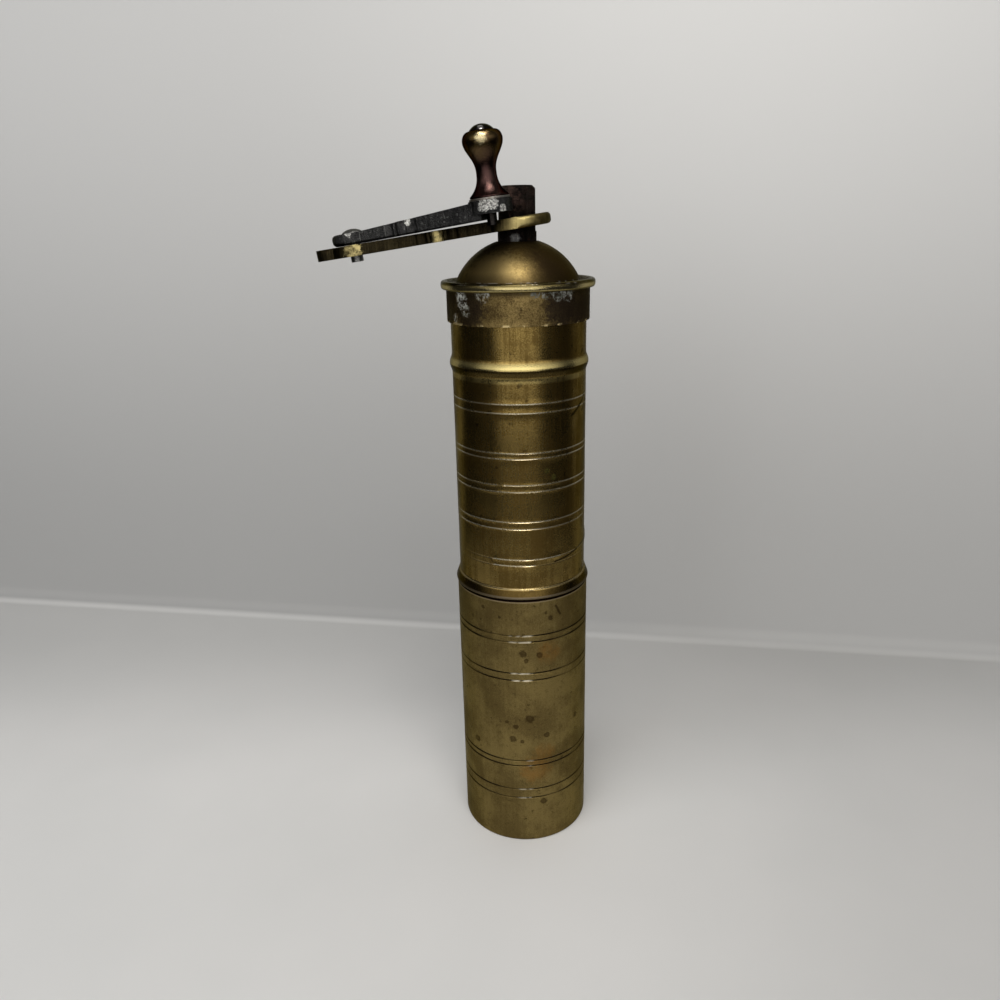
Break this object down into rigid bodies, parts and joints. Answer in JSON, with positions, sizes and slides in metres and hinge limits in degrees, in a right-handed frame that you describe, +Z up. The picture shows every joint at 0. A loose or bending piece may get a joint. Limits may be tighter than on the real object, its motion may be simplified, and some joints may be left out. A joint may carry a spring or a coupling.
{
  "type": "turkish coffee grinder",
  "caption": "Tall cylindrical brass hand mill for Turkish coffee, with a catch cup below, a bean tube with conical burrs, a domed lid and a folding lift-off crank.",
  "frame": {"origin": "centre of the base, on the surface the mill stands on", "axes": "+Z up along the shaft, +X to the right of the picture, -Y towards the camera; the folded crank points to -X"},
  "size_m": [0.0863, 0.0482, 0.2389],
  "materials": {
    "body_brass": "aged, brushed lengthwise, tarnished",
    "lid_brass": "aged, spun, with verdigris at the solder line",
    "inner_brass": "dull, turned",
    "arm_brass": "filed, dark, rubbed bright at the ends",
    "knob_brass": "turned, dark brown patina",
    "link_steel": "forged, blackened, worn bright at the eyes",
    "shaft_steel": "forged, black-brown",
    "fitting_steel": "plain",
    "burr_iron": "cut teeth"
  },
  "bodies": {
    "cup": {"lower_cup": "body_brass", "cup_base": "inner_brass"},
    "mill": {"upper_body": "body_brass", "burr_holder": "inner_brass", "outer_burr": "burr_iron", "top_guide": "inner_brass", "upper_spring_washer": "fitting_steel", "burr_spring": "fitting_steel", "bottom_bar": "fitting_steel", "bar_screws": "fitting_steel", "lock_nut": "fitting_steel"},
    "lid": {"lid_skirt": "lid_brass", "lid_dome": "lid_brass"},
    "thrust": {"thrust_ball": "fitting_steel"},
    "adjuster": {"adjusting_screw": "inner_brass"},
    "shaft": {"drive_shaft": "shaft_steel", "inner_burr": "burr_iron", "burr_pin": "fitting_steel", "lower_spring_washer": "fitting_steel"},
    "crank": {"crank_arm": "arm_brass", "link_rivet": "link_steel"},
    "link": {"crank_link": "link_steel", "knob_washer": "link_steel", "knob_pin": "shaft_steel"},
    "knob": {"knob": "knob_brass"}
  },
  "joints": [
    {"name": "body_lift", "type": "slide", "parent": "cup", "child": "mill", "axis": [0, 0, 1], "range_m": [0, 0.04]},
    {"name": "lid_lift", "type": "slide", "parent": "mill", "child": "lid", "axis": [0, 0, 1], "range_m": [0, 0.024]},
    {"name": "grind_setting", "type": "slide", "parent": "mill", "child": "thrust", "axis": [0, 0, 1], "range_m": [0, 0.0008], "deforming": ["burr_spring"]},
    {"name": "adjuster_turn", "type": "hinge", "parent": "thrust", "child": "adjuster", "pos_m": [0, 0, 0.065], "axis": [0, 0, 1], "range_deg": [0, 360]},
    {"name": "crank_turn", "type": "hinge", "parent": "thrust", "child": "shaft", "pos_m": [0, 0, 0.15], "axis": [0, 0, 1], "continuous": true},
    {"name": "crank_lift", "type": "slide", "parent": "shaft", "child": "crank", "axis": [0, 0, 1], "range_m": [0, 0.05]},
    {"name": "link_fold", "type": "hinge", "parent": "crank", "child": "link", "pos_m": [-0.05026, 0, 0.20695], "axis": [0.1374, 0, -0.9905], "range_deg": [0, 330]},
    {"name": "knob_spin", "type": "hinge", "parent": "link", "child": "knob", "pos_m": [-0.0078, -0.01084, 0.2187], "axis": [-0.1055, -0.008, 0.9944], "continuous": true}
  ],
  "couplings": [
    {"joint": "lid_lift", "follows": "crank_lift", "ratio": 0.48},
    {"joint": "adjuster_turn", "follows": "grind_setting", "rad_per_m": 7853.2}
  ]
}
